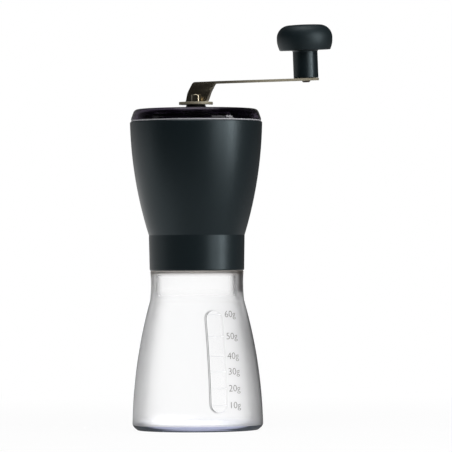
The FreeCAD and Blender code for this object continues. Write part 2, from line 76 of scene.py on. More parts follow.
# Sizes of the turned shells between those places, in millimetres
BASE_R = FOOT_R - 1.8
JAR_FLOOR_Z = 3.4
FLARE_LOW_Z = 3.3
FLARE_MID_Z = 35.9
FLARE_TOP_Z = 68.5
WAIST_R = 24.9
LEDGE_R = 24.7
NECK_R = 24.45
BELLY_R = 31.87
JAR_WALL = 2.1
SPIGOT_R = 22.7
SPIGOT_BORE_R = 20.95
BODY_WALL = 2.2
COLLAR_TOP_Z = 103.1
COLLAR_R = 25.4
SKIRT_R = 23.55
BODY_MID_R = 32.4
BODY_MID_Z = (COLLAR_TOP_Z + RIM_Z) / 2
CRANK_T = 1.4                # thickness of the crank's sheet
PIN_BORE_R = 2.97            # the knob's bore round its sleeve
KNOB_TILT = math.radians(3.05)
KNOB_FOOT = Vector((100.0, 0.0, 185.4 + 80.0 * math.tan(KNOB_TILT)))


def rgb(red, green, blue):
    """A linear colour from the usual 0 to 255 values of a picture."""
    def channel(value):
        share = value / 255
        return share / 12.92 if share <= 0.04045 else ((share + 0.055) / 1.055) ** 2.4
    return (channel(red), channel(green), channel(blue), 1.0)


def shade(colour, share):
    """A colour made darker or lighter by a factor."""
    return [channel * share for channel in colour[:3]] + [1.0]


def a_length(name, description, default, **more):
    """A length property, with its default in millimetres."""
    return FloatProperty(name=name, description=description, unit="LENGTH", default=default * MM, **more)


def a_share(name, description, default):
    """A property from 0 to 1."""
    return FloatProperty(name=name, description=description, default=default, min=0, max=1)


def an_angle(name, description, degrees):
    """An angle property, with its default in degrees."""
    return FloatProperty(name=name, description=description, subtype="ANGLE", default=math.radians(degrees))


def a_colour(name, description, *levels):
    """A colour property."""
    return FloatVectorProperty(name=name, description=description, subtype="COLOR", size=4, default=rgb(*levels))


class MillShells(bpy.types.PropertyGroup):
    """Fineness of the turned shells and of their broken edges."""
    segments: IntProperty(name="Segments", description="Faces round a turned shell", default=192, min=24, max=512)
    arc_step: a_length("Arc step", "Length of a face along a section's arcs", 1.3, min=0.2 * MM)
    edge: a_length("Edge", "Rounding of moulded edges", 0.3)
    burr_edge: a_length("Broken edge", "Bevel on the edges of the small hard parts", 0.12)


class MillScale(bpy.types.PropertyGroup):
    """The window in the jar's wall, its marks and its numbers."""
    angle: an_angle("Angle", "Where the window faces, from +X", 237.2)
    width: a_length("Width", "Width of the window", 9.4)
    height: a_length("Height", "Height of the window", 53.6)
    middle: a_length("Middle", "Height of the window's middle", 36.7)
    depth: a_length("Depth", "Depth of the window in the wall", 0.4)
    mark: a_length("Mark", "Thickness of a mark", 0.2)
    digit: a_length("Digit", "Height of a digit", 3.4)
    number_gap: a_length("Number gap", "From the window's middle to the top number", 5.7)
    number_lean: FloatProperty(name="Number lean", description="How the numbers move outwards going down",
                               default=-0.009)


class MillFinish(bpy.types.PropertyGroup):
    """Colours and gloss of the mill's materials."""
    slate: a_colour("Slate", "Colour of the body and the knob", 12, 20, 23)
    slate_rough: a_share("Slate roughness", "Satin of the moulded body", 0.36)
    frost: a_colour("Frost", "Tint of the frosted jar, seen square on", 254, 254, 255)
    # Frost edge is painted shade: the grey that the jar's wall is darkened to where it turns away
    frost_painted_shade: a_colour("Frost edge", "Tint of the jar where its wall turns away", 104, 105, 109)
    frost_rough: a_share("Frost roughness", "Blur of the frosted flare", 0.42)
    smoke: a_colour("Smoke", "Tint of the dark lid", 62, 55, 68)
    steel: a_colour("Steel", "Colour of the polished stainless strip", 192, 181, 158)
    steel_rough: a_share("Steel roughness", "Polish of the steel pieces", 0.24)
    print_grey: a_colour("Print", "Colour of the scale's numbers", 70, 68, 66)


class MillStudio(bpy.types.PropertyGroup):
    """Camera and light."""
    distance: a_length("Distance", "Camera to the shaft's line", 2000.0, min=0.5)
    azimuth: an_angle("Azimuth", "Camera's turn round the mill, 0 looks along +Y", -53)
    eye_height: a_length("Eye height", "Camera's height", 92.4)
    view_width: a_length("View width", "Width of the picture at the shaft", 452 * 0.53)
    roll: an_angle("Roll", "Lean of the picture to the left", 0.35)


class Wire:
    """A socket in a node tree, so that sums on values read as plain expressions."""

    def __init__(self, web, socket):
        self.web = web
        self.socket = socket

    def math(self, operation, *values):
        """A Math node on this value and any others."""
        return self.web.node("ShaderNodeMath", {"operation": operation}, self, *values)

    def __add__(self, other):
        return self.math("ADD", other)

    def __sub__(self, other):
        return self.math("SUBTRACT", other)

    def __rsub__(self, other):
        return self.web.node("ShaderNodeMath", {"operation": "SUBTRACT"}, other, self)

    def __mul__(self, other):
        return self.math("MULTIPLY", other)

    __radd__ = __add__
    __rmul__ = __mul__

    def __truediv__(self, other):
        return self.math("DIVIDE", other)

    def __abs__(self):
        return self.math("ABSOLUTE")

    def ramp(self, low, high):
        """A smooth step from 0 at low to 1 at high."""
        return self.web.node("ShaderNodeMapRange", {"interpolation_type": "SMOOTHSTEP"}, self, low, high)


class Web:
    """A node tree under construction."""

    def __init__(self, tree):
        self.tree = tree
        self.tree.nodes.clear()

    def node(self, kind, settings=None, *values, out=0, **named):
        """Adds a node: its settings first, then sockets in order or by name with underscores for spaces."""
        made = self.tree.nodes.new(kind)
        for key, value in (settings or {}).items():
            setattr(made, key, value)
        sockets = list(zip(made.inputs, values))
        sockets += [(made.inputs[key.replace("_", " ")], value) for key, value in named.items()]
        for socket, value in sockets:
            if isinstance(value, Wire):
                self.tree.links.new(value.socket, socket)
            elif value is not None:
                socket.default_value = value
        return Wire(self, made.outputs[out]) if made.outputs else None

    def several(self, kind, settings=None, *values):
        """Adds a node and gives a wire for each of its outputs."""
        first = self.node(kind, settings, *values)
        return [Wire(self, socket) for socket in first.socket.node.outputs if socket.name]


class Finish(Web):
    """The nodes of a material or of the world."""

    def __init__(self, owner):
        owner.use_nodes = True
        super().__init__(owner.node_tree)

    def mix(self, factor, first, second):
        """A colour between two others."""
        return self.node("ShaderNodeMix", {"data_type": "RGBA"}, factor, *[None] * 5, first, second, out=2)

    def grey(self, level):
        """A grey of some level."""
        return self.node("ShaderNodeCombineColor", None, level, level, level)

    def where(self):
        """The piece's own coordinates."""
        return self.node("ShaderNodeTexCoord", None, out=3)

    def along(self, vector, direction):
        """How far a vector reaches in a direction."""
        return self.node("ShaderNodeVectorMath", {"operation": "DOT_PRODUCT"}, vector, tuple(direction), out=1)

    def axes(self, where):
        """A place's three values, in millimetres."""
        return [value / MM for value in self.several("ShaderNodeSeparateXYZ", None, where)]

    def stretched(self, where, scales):
        """Coordinates for a noise that is finer one way than another."""
        return self.node("ShaderNodeVectorMath", {"operation": "MULTIPLY"}, where, scales)

    def rays(self, *kinds):
        """Whether a ray is of each of some kinds."""
        path = self.node("ShaderNodeLightPath").socket.node
        return [Wire(self, path.outputs[f"Is {kind} Ray"]) for kind in kinds]

    def noise(self, where, scale, detail=3.0, rough=0.5):
        """Noise about a middle of a half."""
        return self.node("ShaderNodeTexNoise", None, Vector=where, Scale=scale, Detail=detail, Roughness=rough)

    def bump(self, height, strength, depth):
        """A normal from a height, with the depth in millimetres."""
        return self.node("ShaderNodeBump", None, Height=height, Strength=strength, Distance=depth * MM)

    def principled(self, colour, rough, normal=None, **more):
        """Ends the tree with the common shader."""
        self.surface(self.node("ShaderNodeBsdfPrincipled", None, Base_Color=colour, Roughness=rough,
                               Normal=normal, **more))

    def surface(self, shader):
        """Ends the tree."""
        self.node("ShaderNodeOutputMaterial", None, shader)


class Shape(Web):
    """A geometry tree with named inputs, which ends in Realize Instances and Set Material."""

    KINDS = {float: "NodeSocketFloat", int: "NodeSocketInt"}

    def __init__(self, name, **inputs):
        super().__init__(bpy.data.node_groups.new(name, "GeometryNodeTree"))
        face = self.tree.interface
        face.new_socket("Geometry", in_out="INPUT", socket_type="NodeSocketGeometry")
        for key, value in inputs.items():
            socket = face.new_socket(key, in_out="INPUT", socket_type=self.KINDS[type(value)])
            socket.default_value = value
        face.new_socket("Material", in_out="INPUT", socket_type="NodeSocketMaterial")
        face.new_socket("Geometry", in_out="OUTPUT", socket_type="NodeSocketGeometry")
        self.given = {wire.socket.name: wire for wire in self.several("NodeGroupInput")}
        self.inputs = inputs

    def end(self, geometry):
        """Realize, smooth, set the material and close the tree."""
        real = self.node("GeometryNodeRealizeInstances", None, geometry)
        smooth = self.node("GeometryNodeSetShadeSmooth", None, real)
        faced = self.node("GeometryNodeSetMaterial", None, smooth, Material=self.given["Material"])
        self.node("NodeGroupOutput", None, faced)

    def applied(self, mesh, **inputs):
        """The plain mesh that the tree makes of another mesh."""
        source = linked(self.tree.name, mesh)
        modifier = source.modifiers.new(self.tree.name, "NODES")
        modifier.node_group = self.tree
        values = dict(self.inputs, **inputs)
        for item in self.tree.interface.items_tree:
            if item.in_out == "INPUT" and item.name in values:
                modifier[item.identifier] = values[item.name]
        return baked(source)


def linked(name, data):
    """A new object in the scene."""
    made = bpy.data.objects.new(name, data)
    bpy.context.scene.collection.objects.link(made)
    return made


def baked(source):
    """The evaluated mesh of an object, which is then removed."""
    graph = bpy.context.evaluated_depsgraph_get()
    mesh = bpy.data.meshes.new_from_object(source.evaluated_get(graph), preserve_all_data_layers=True,
                                           depsgraph=graph)
    bpy.data.objects.remove(source)
    return mesh


def plain_mesh(name, points, edges=(), faces=()):
    """A mesh from points in millimetres."""
    mesh = bpy.data.meshes.new(name)
    mesh.from_pydata([Vector(point) * MM for point in points], edges, faces)
    return mesh


def tidied(mesh, sharp=32.0):
    """Merges doubles, points the faces outwards and marks the sharp edges."""
    work = bmesh.new()
    work.from_mesh(mesh)
    bmesh.ops.remove_doubles(work, verts=work.verts, dist=0.002 * MM)
    bmesh.ops.dissolve_degenerate(work, edges=work.edges, dist=0.001 * MM)
    bmesh.ops.recalc_face_normals(work, faces=work.faces)
    if work.calc_volume(signed=True) < 0:
        bmesh.ops.reverse_faces(work, faces=work.faces)
    for face in work.faces:
        face.smooth = True
    work.to_mesh(mesh)
    work.free()
    mesh.set_sharp_from_angle(angle=math.radians(sharp))
    return mesh


def piece(name, mesh, body, slot, *nodes):
    """A finished piece that rides on a body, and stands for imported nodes."""
    made = linked(name, mesh)
    mesh.materials.clear()
    mesh.materials.append(finish_of(slot))
    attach(made, body)
    if nodes:
        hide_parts(*nodes)
    return made


def carved(mesh, tool, operation="DIFFERENCE"):
    """The first mesh with the second cut out of it or joined to it."""
    blank, cutter = linked("blank", mesh), linked("cutter", tool)
    modifier = blank.modifiers.new("carve", "BOOLEAN")
    modifier.operation = operation
    modifier.solver = "EXACT"
    modifier.object = cutter
    result = baked(blank)
    bpy.data.objects.remove(cutter)
    return result


def circle_through(a, b, c):
    """Middle and radius of the circle through three points."""
    (x0, z0), (x1, z1), (x2, z2) = a, b, c
    d = 2 * (x0 * (z1 - z2) + x1 * (z2 - z0) + x2 * (z0 - z1))
    q0, q1, q2 = x0 * x0 + z0 * z0, x1 * x1 + z1 * z1, x2 * x2 + z2 * z2
    x = (q0 * (z1 - z2) + q1 * (z2 - z0) + q2 * (z0 - z1)) / d
    z = (q0 * (x2 - x1) + q1 * (x0 - x2) + q2 * (x1 - x0)) / d
    return x, z, math.hypot(x0 - x, z0 - z)


def bow(low, middle, high):
    """The radius at a height, on the arc through three points of radius and height."""
    x, z0, size = circle_through(low, middle, high)
    return lambda z: x + math.sqrt(size ** 2 - (z - z0) ** 2)


# The arc of the jar's flare, and the body's outer radius at a height
FLARE = ((FOOT_R, FLARE_LOW_Z), (BELLY_R, FLARE_MID_Z), (WAIST_R, FLARE_TOP_Z))
BODY_SKIN = bow((COLLAR_R, COLLAR_TOP_Z), (BODY_MID_R, BODY_MID_Z), (RIM_R, RIM_Z))


def arc(a, middle, b, step):
    """The points after a, on the arc that passes through the middle to b."""
    x, z, size = circle_through(a, middle, b)
    first, half, last = (math.atan2(p[1] - z, p[0] - x) for p in (a, middle, b))
    turn = (last - first) % math.tau
    if (half - first) % math.tau > turn:
        turn -= math.tau
    count = max(4, round(abs(turn) * size / step))
    turns = [first + turn * (i + 1) / count for i in range(count)]
    return [(x + size * math.cos(t), z + size * math.sin(t)) for t in turns]


def section(points, step, closed=False):
    """A section as radius and height, with points (r, z), (r, z, rounding) or (r, z, (mid r, mid z)).

    A rounding is an arc in place of the corner. The last form ends an arc through the middle.
    Short runs beside a rounding keep the flats flat when the shell is shaded smooth.
    """
    spots = [Vector(p[:2]) for p in points]
    line = []
    run = 0.1
    for i, p in enumerate(points):
        extra = p[2] if len(p) > 2 else 0
        here = spots[i]
        if isinstance(extra, tuple):
            line += arc(line[-1], extra, here, step)
        elif extra:
            back = (spots[i - 1] - here).normalized()
            ahead = (spots[(i + 1) % len(spots)] - here).normalized()
            half = back.angle(ahead) / 2
            reach = extra / math.tan(half)
            middle = here + (back + ahead).normalized() * (extra / math.sin(half) - extra)
            start, end = here + back * reach, here + ahead * reach
            line += [tuple(start + back * run), tuple(start)]
            line += arc(tuple(start), tuple(middle), tuple(end), max(extra * 0.4, 0.1))
            line += [tuple(end + ahead * run)]
        else:
            line.append(tuple(here))
    return line + line[:1] if closed else line


def turning_tree():
    """Turns a section, a row of points in the XZ plane, about the Z axis, and lets it rise for a thread."""
    shape = Shape("turning", Segments=192, Turns=1.0, Rise=0.0)
    line, segments = shape.given["Geometry"], shape.given["Segments"]
    count = shape.node("GeometryNodeAttributeDomainSize", {"component": "MESH"}, line)
    grid = shape.node("GeometryNodeMeshGrid", None, 1.0, 1.0, segments + 1, count)
    index = shape.node("GeometryNodeInputIndex")
    column = ((index + 0.5) / count).math("FLOOR")
    spot = shape.node("GeometryNodeSampleIndex", {"data_type": "FLOAT_VECTOR"}, line,
                      shape.node("GeometryNodeInputPosition"), index - column * count)
    turns = column / segments * shape.given["Turns"]
    turned = shape.node("ShaderNodeVectorRotate", {"rotation_type": "Z_AXIS"}, spot, Angle=turns * math.tau)
    rise = shape.node("ShaderNodeCombineXYZ", None, 0.0, 0.0, turns * shape.given["Rise"])
    moved = shape.node("GeometryNodeSetPosition", None, grid, Position=turned, Offset=rise)
    shape.end(shape.node("GeometryNodeMergeByDistance", None, moved, Distance=0.002 * MM))
    return shape


def on_flare(shape, geometry):
    """Bends flat work round the jar: X runs round it, Y stands out from it and Z is the height."""
    x, z, size = [value * MM for value in circle_through(*FLARE)]
    across, out, up = shape.several("ShaderNodeSeparateXYZ", None, shape.node("GeometryNodeInputPosition"))
    radius = (size ** 2 - (up - z) * (up - z)).math("SQRT") + x
    angle = shape.given["Angle"] + across / radius
    bent = shape.node("ShaderNodeCombineXYZ", None, (radius + out) * angle.math("COSINE"),
                      (radius + out) * angle.math("SINE"), up)
    return shape.node("GeometryNodeSetPosition", None, geometry, Position=bent)


def wrapping_tree():
    """Bends a mesh round the jar's flare."""
    shape = Shape("wrapping", Angle=0.0)
    shape.end(on_flare(shape, shape.given["Geometry"]))
    return shape


def marks_tree():
    """A thin bar at each point, as wide as the point's own attribute says, bent round the flare."""
    shape = Shape("marks", Angle=0.0, Thickness=0.3 * MM, Proud=0.2 * MM)
    bar = shape.node("GeometryNodeMeshCube", None,
                     shape.node("ShaderNodeCombineXYZ", None, 1.0, shape.given["Proud"], shape.given["Thickness"]),
                     17, 2, 2)
    width = shape.node("GeometryNodeInputNamedAttribute", {"data_type": "FLOAT"}, "width")
    size = shape.node("ShaderNodeCombineXYZ", None, width, 1.0, 1.0)
    bars = shape.node("GeometryNodeInstanceOnPoints", None, shape.given["Geometry"], Instance=bar, Scale=size)
    shape.end(on_flare(shape, shape.node("GeometryNodeRealizeInstances", None, bars)))
    return shape


def outline_mesh(name, line):
    """A section's row of points, joined by edges in the XZ plane."""
    return plain_mesh(name, [(r, 0, z) for r, z in line], [(i, i + 1) for i in range(len(line) - 1)])


def turned(name, points, closed=False):
    """A turned shell from its section in millimetres."""
    shells = bpy.context.scene.mill_shells
    line = section(points, shells.arc_step / MM, closed)
    return tidied(TREES["turning"].applied(outline_mesh(name, line), Segments=shells.segments))


def block(name, low, high):
    """A box between two corners in millimetres."""
    (x0, y0, z0), (x1, y1, z1) = low, high
    points = [(x, y, z) for x in (x0, x1) for y in (y0, y1) for z in (z0, z1)]
    faces = [(0, 1, 3, 2), (4, 6, 7, 5), (0, 4, 5, 1), (2, 3, 7, 6), (0, 2, 6, 4), (1, 5, 7, 3)]
    return plain_mesh(name, points, faces=faces)


def ringed(mesh, count, first=0.0):
    """Copies of a mesh in one, evenly round the Z axis."""
    work = bmesh.new()
    for i in range(count):
        copy = mesh.copy()
        copy.transform(Matrix.Rotation(math.radians(first + 360 * i / count), 4, "Z"))
        work.from_mesh(copy)
    work.to_mesh(mesh)
    work.free()
    return mesh


def eased(node, width, rolled=None):
    """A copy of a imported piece, merged to flat faces, with its hard edges broken.

    Where a test of an edge is given, the edges that pass are first rolled to a larger round.
    """
    mesh = frame["nodes"][node].data.copy()
    work = bmesh.new()
    work.from_mesh(mesh)
    bmesh.ops.remove_doubles(work, verts=work.verts, dist=0.002 * MM)
    bmesh.ops.dissolve_limit(work, angle_limit=math.radians(0.4), verts=work.verts, edges=work.edges)
    if rolled:
        chosen = [edge for edge in work.edges if rolled(edge)]
        bmesh.ops.bevel(work, geom=chosen, offset=0.45 * MM, segments=4, profile=0.5, affect="EDGES")
    work.to_mesh(mesh)
    work.free()
    blank = linked(node, mesh)
    bevel = blank.modifiers.new("ease", "BEVEL")
    bevel.limit_method = "ANGLE"
    bevel.angle_limit = math.radians(38)
    bevel.width = width
    bevel.segments = 2
    return tidied(baked(blank), 25.0)


def new_finish(name):
    """A fresh material and its tree."""
    material = bpy.data.materials.new(name)
    return material, Finish(material)


def clouded(name, tints, scale, detail, rough, bump, spread=None, stretch=None, metallic=0.0, blotch=0.5):
    """A finish whose tint, gloss and grain follow one noise.

    The roughness is given at the noise's two ends, and the bump as a strength and a depth in millimetres.
    A spread sharpens the tints' border, and a stretch draws the noise out.
    """
    material, finish = new_finish(name)
    where = finish.where()
    cloud = finish.noise(finish.stretched(where, stretch) if stretch else where, scale, detail, blotch)
    colour = finish.mix(cloud.ramp(*spread) if spread else cloud, *tints)
    smooth, dull = rough
    finish.principled(colour, smooth + cloud * (dull - smooth), finish.bump(cloud, *bump), Metallic=metallic)
    return material


def slate_plastic(look):
    """Satin moulded plastic: fine spark grain, faint flow marks and slight wear of the gloss."""
    material, finish = new_finish("slate_satin")
    where = finish.where()
    z = finish.axes(where)[2]
    cloud = finish.noise(where, 60, 3.0)
    colour = finish.mix(cloud, shade(look.slate, 0.92), shade(look.slate, 1.08))
    knob_cap = z.ramp(203.5, 206.0)
    rough = look.slate_rough + (cloud - 0.5) * 0.06 + knob_cap * 0.16
    finish.principled(colour, rough, finish.bump(finish.noise(where, 2600, 2.0), 0.25, 0.03),
                      IOR=1.47, Specular_Tint=(0.76, 0.92, 0.98, 1.0))
    return material


def window_distance(x, y, z):
    """Millimetres outside the outline of the scale window, and how far round from its middle to the right."""
    scale = bpy.context.scene.mill_scale
    middle, half, half_height = scale.middle / MM, scale.width / 2 / MM, scale.height / 2 / MM
    across = y * math.cos(scale.angle) - x * math.sin(scale.angle)
    out = x * math.cos(scale.angle) + y * math.sin(scale.angle)
    over = (abs(z - middle) - (half_height - half)).math("MAXIMUM", 0.0)
    distance = (across * across + over * over).math("SQRT") - half
    far_side = 1 - out.ramp(0.0, 10.0)
    return distance + far_side * 100, across


def frosted_plastic(look):
    """Clear plastic, frosted all over, and left smoother in the window. Its colour carries painted shade at the
    limbs, under the body, on the foot and along the window's edge, and a faint painted glow above the foot.
    """
    material, finish = new_finish("frosted_clear")
    where = finish.where()
    x, y, z = finish.axes(where)
    cloud = finish.noise(where, 90, 3.0)
    turned_away = finish.node("ShaderNodeLayerWeight", None, out=1, Blend=0.5)
    radius = (x * x + y * y).math("SQRT")
    distance, across = window_distance(x, y, z)
    inside = 1 - distance.ramp(-0.5, -0.1)
    # Painted shade: a dark line along the window's edge, strongest on its left side
    outline = (1 - abs(distance).ramp(0.14, 0.34)) * (0.15 + (1 - across.ramp(-3.6, 0.5)) * 0.85)

    # Zones by height: the wall over the floor, the neck, the painted shadow line under the body and the foot
    below_ledge = 1 - z.ramp(SHOULDER_Z, SHOULDER_Z + 0.8)
    wall = z.ramp(3.6, 6.0).math("MAXIMUM", radius.ramp(29.0, 31.5))
    upper = z.ramp(50.0, 68.0)
    neck = z.ramp(68.0, 75.0) * below_ledge
    # Painted shadow: a brown-grey band on the jar just under the body, where the collar shades it
    top = z.ramp(SHOULDER_Z - 3.6, SHOULDER_Z - 0.2) * below_ledge
    over_foot = z.ramp(2.6, 3.2)
    foot = (1 - over_foot) * radius.ramp(28.5, 30.0)
    # Painted glow: a faint emission and more opacity on the band just above the foot, for light caught there
    painted_glow = (over_foot * (1 - z.ramp(5.4, 7.6)) * (1 - turned_away.ramp(0.22, 0.58))
             * (1 - across.ramp(-8.0, 20.0) * 0.7))

    # Painted shade: the wall's colour darkens where it turns away, and more so on the lamps' side
    lamp_side = (across / radius).ramp(0.35, 0.8)
    band = (turned_away.ramp(0.42 - lamp_side * 0.14, 0.80 - lamp_side * 0.2)
            * (1 - turned_away.ramp(0.68, 0.88) * (1 - lamp_side * 0.75) * 0.5))
    flare = turned_away.ramp(0.22 + upper * 0.2, 1.15 - upper * 0.15 - lamp_side * (0.25 - upper * 0.18))
    edge = (flare * (1 - neck) + band * neck) * wall
    dim = finish.mix(lamp_side * 0.7, finish.mix(neck, list(look.frost_painted_shade), rgb(138, 135, 134)),
                     rgb(50, 50, 52))
    colour = finish.mix(edge, list(look.frost), dim)
    # Painted shade on the foot's underside: lavender-grey where it faces the view, near black where it turns away
    painted_foot_shade = finish.mix(turned_away.ramp(0.23, 0.46), rgb(150, 158, 204), rgb(16, 20, 26))
    # Over the base colour: the window's slightly greyer inside, then painted shade on the foot, under the body and
    # along the window's edge
    for share, tint in ((inside * 0.5, rgb(248, 248, 249)), (foot, painted_foot_shade), (top * 0.9, rgb(150, 141, 132)),
                        (outline, rgb(40, 45, 42))):
        colour = finish.mix(share, colour, tint)
    rough = look.frost_rough * (1 - inside * 0.5) + (cloud - 0.5) * 0.06
    alpha = (0.34 - neck * 0.24 + edge * (neck * 0.24 + 0.66) - inside * 0.06 + outline * 0.5 + foot * 0.7
             + top * 0.5 + painted_glow * 0.6)
    finish.principled(colour, rough, finish.bump(finish.noise(where, 1500, 3.0), 0.2, 0.04), IOR=1.2,
                      Transmission_Weight=1.0, Alpha=alpha.math("MINIMUM", 1.0),
                      Emission_Color=finish.grey(painted_glow), Emission_Strength=0.16)
    return material


def smoke_plastic(look):
    """Polished dark smoke with faint handling marks."""
    material, finish = new_finish("smoke_gloss")
    smear = finish.noise(finish.where(), 90, 4.0)
    colour = finish.mix(smear, shade(look.smoke, 0.94), list(look.smoke))
    finish.principled(colour, 0.05 + smear.ramp(0.45, 0.8) * 0.08, IOR=1.3, Transmission_Weight=1.0)
    return material


def sheared_edge(look):
    """The strip's blanked edge: matt, lighter and drawn with fine lines through the sheet, with a painted dark
    reflection on the riser.
    """
    material, finish = new_finish("sheared_edge")
    where = finish.where()
    x, _, z = finish.axes(where)
    drag = finish.noise(finish.stretched(where, (2600, 2600, 500)), 1.0)
    # Painted reflection: the riser's edge is darkened, for the dark room that it reflects
    riser_dark_reflection = z.ramp(CRANK_Z + CRANK_T, CRANK_Z + 2.6) * (1 - x.ramp(12.0, 70.0))
    colour = finish.mix(riser_dark_reflection, finish.mix(drag, rgb(120, 114, 98), rgb(140, 134, 117)), rgb(58, 53, 42))
    finish.principled(colour, 0.5 + drag * 0.12, finish.bump(drag, 0.2, 0.02), Metallic=0.35)
    return material


def polished_steel(look):
    """Rolled stainless with a fine grain along the strip."""
    material, finish = new_finish("rolled_steel")
    where = finish.where()
    grain = finish.noise(finish.stretched(where, (60, 2400, 900)), 1.0)
    colour = finish.mix(finish.noise(where, 220), shade(look.steel, 0.9), list(look.steel))
    rough = look.steel_rough + (grain - 0.5) * 0.12
    finish.principled(colour, rough, finish.bump(grain, 0.12, 0.02), Metallic=1.0)
    return material


def printed_grey(look):
    """Grey ink, a little thin in places."""
    return clouded("grey_ink", (list(look.print_grey), rgb(120, 118, 115)), 1600, 3.0, (0.5, 0.6), (0.1, 0.02),
                   spread=(0.45, 0.75))


MAKERS = {"slate_plastic": slate_plastic, "frosted_plastic": frosted_plastic, "smoke_plastic": smoke_plastic,
          "steel": polished_steel, "edge": sheared_edge, "print": printed_grey}

# Finishes of one noise: the material's name, its two tints, the noise's scale and detail, roughness and bump
CLOUDED = {
    "black_plastic": (("moulded_black", (rgb(16, 16, 17),) * 2, 1800, 2.0, (0.35, 0.45), (0.2, 0.03)), {}),
    "white_nylon": (("bearing_nylon", (rgb(222, 220, 210), rgb(236, 234, 226)), 400, 2.0, (0.42, 0.42),
                     (0.1, 0.03)), {}),
    "ceramic": (("fired_ceramic", (rgb(214, 208, 194), rgb(238, 234, 224)), 1400, 4.0, (0.4, 0.6),
                 (0.3, 0.04)), {"spread": (0.35, 0.7), "blotch": 0.7}),
    "brass": (("turned_brass", (rgb(176, 140, 72), rgb(206, 172, 98)), 1.0, 3.0, (0.24, 0.36),
               (0.15, 0.02)), {"stretch": (40, 40, 5200), "metallic": 1.0}),
    "marks": (("moulded_mark", (rgb(184, 186, 189), rgb(206, 208, 211)), 700, 2.0, (0.3, 0.4),
               (0.1, 0.02)), {}),
    # Painted light: a pale grey ring that stands for light shining through the lid's edge
    "light_lip": (("painted_light_lip", (rgb(138, 138, 142), rgb(156, 156, 159)), 300, 2.0, (0.4, 0.5), (0.1, 0.02)), {}),
    # A dark brown-grey steel for the knob's pin, much darker than the strip
    "pin": (("dark_pin_steel", (rgb(46, 38, 28), rgb(70, 60, 46)), 500, 3.0, (0.45, 0.55), (0.2, 0.02)),
            {"metallic": 0.5}),
}
SLOTS = {part["node"]: part["material_slot"] for part in frame["record"]["subparts"]}
FINISHES = {}


def finish_of(slot):
    """The material of a record slot or of a detail, made once."""
    if slot not in FINISHES:
        if slot in MAKERS:
            FINISHES[slot] = MAKERS[slot](bpy.context.scene.mill_finish)
        else:
            given, more = CLOUDED[slot]
            FINISHES[slot] = clouded(*given, **more)
    return FINISHES[slot]


def dress(*nodes):
    """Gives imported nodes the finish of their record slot."""
    for node in nodes:
        mesh = frame["nodes"][node].data
        mesh.materials.clear()
        mesh.materials.append(finish_of(SLOTS[node]))


class MILL_OT_jar(bpy.types.Operator):
    """Turn the frosted jar, with its thread and the recess of its scale window"""
    bl_idname = "mill.jar"
    bl_label = "Grounds jar"

    def execute(self, context):
        edge = context.scene.mill_shells.edge / MM
        inner = bow(*[(r - JAR_WALL, z) for r, z in FLARE])
        bend_z = 6.0             # where the wall turns in to the floor
        mid_z = (bend_z + FLARE_TOP_Z) / 2
        shell = turned("jar", [
            (0, 0), (BASE_R - 0.9, 0, edge), (FOOT_R - 1.75, 0.7, edge),
            (FOOT_R, FLARE_LOW_Z, (FOOT_R - 0.48, 2.0)), (WAIST_R, FLARE_TOP_Z, (BELLY_R, FLARE_MID_Z)),
            (LEDGE_R, SHOULDER_Z - 0.5, (NECK_R, (FLARE_TOP_Z + SHOULDER_Z) / 2)),
            (LEDGE_R - 0.4, SHOULDER_Z, edge), (SPIGOT_R, SHOULDER_Z),
            (SPIGOT_R, SPIGOT_TOP_Z - 0.6, edge), (SPIGOT_R - 0.5, SPIGOT_TOP_Z, edge),
            (SPIGOT_BORE_R, SPIGOT_TOP_Z, edge), (SPIGOT_BORE_R, SHOULDER_Z + 1.6, 2 * edge),
            (22.4, SHOULDER_Z - 1.4, 3 * edge), (inner(FLARE_TOP_Z), FLARE_TOP_Z),
            (inner(bend_z), bend_z, (inner(mid_z), mid_z)), (inner(bend_z) - 0.1, JAR_FLOOR_Z, 1.0),
            (0, JAR_FLOOR_Z),
        ])
        shell = carved(shell, self.thread(), "UNION")
        shell = tidied(carved(shell, self.window(context.scene.mill_scale)))
        piece("frosted_jar", shell, "jar", "frosted_plastic", "grounds_jar")
        return {"FINISHED"}

    def thread(self):
        """The coarse ridge round the spigot."""
        start = SHOULDER_Z + 2.6
        crest = SPIGOT_R + 0.65
        line = section([(SPIGOT_R - 0.3, start - 1.1), (SPIGOT_R, start - 1.1), (crest, start - 0.6, 0.2),
                        (crest, start + 0.6, 0.2), (SPIGOT_R, start + 1.1), (SPIGOT_R - 0.3, start + 1.1)],
                       0.3, True)
        return tidied(TREES["turning"].applied(outline_mesh("thread", line), Segments=160, Turns=1.6,
                                               Rise=4.5 * MM))

    def window(self, scale):
        """A long tool with round ends that cuts a shallow recess with a soft floor edge."""
        depth = scale.depth / MM
        # How far each layer stands out from the wall, and how much smaller it is than the window
        layers = [(-depth, 0.7), (-depth + 0.06, 0.45), (-depth + 0.2, 0.2), (-0.02, 0.02), (1.0, 0.0)]
        columns = 12
        points, faces = [], []
        for lift, inset in layers:
            for z, half in pill_rows(scale, inset):
                points += [(half * (2 * j / columns - 1), lift, z) for j in range(columns + 1)]
        wide, tall = columns + 1, len(pill_rows(scale, 0.0))
        layer = wide * tall
        for base in (0, layer * (len(layers) - 1)):
            for i in range(tall - 1):
                for j in range(columns):
                    a = base + i * wide + j
                    faces.append((a, a + 1, a + 1 + wide, a + wide))
        rim = ([i * wide for i in range(tall)] + [(tall - 1) * wide + j for j in range(1, wide)]
               + [i * wide + columns for i in range(tall - 2, -1, -1)] + list(range(columns - 1, 0, -1)))
        for k in range(len(layers) - 1):
            for a, b in zip(rim, rim[1:] + rim[:1]):
                faces.append((k * layer + a, k * layer + b, (k + 1) * layer + b, (k + 1) * layer + a))
        flat = plain_mesh("window", points, faces=faces)
        return tidied(TREES["wrapping"].applied(flat, Angle=scale.angle))


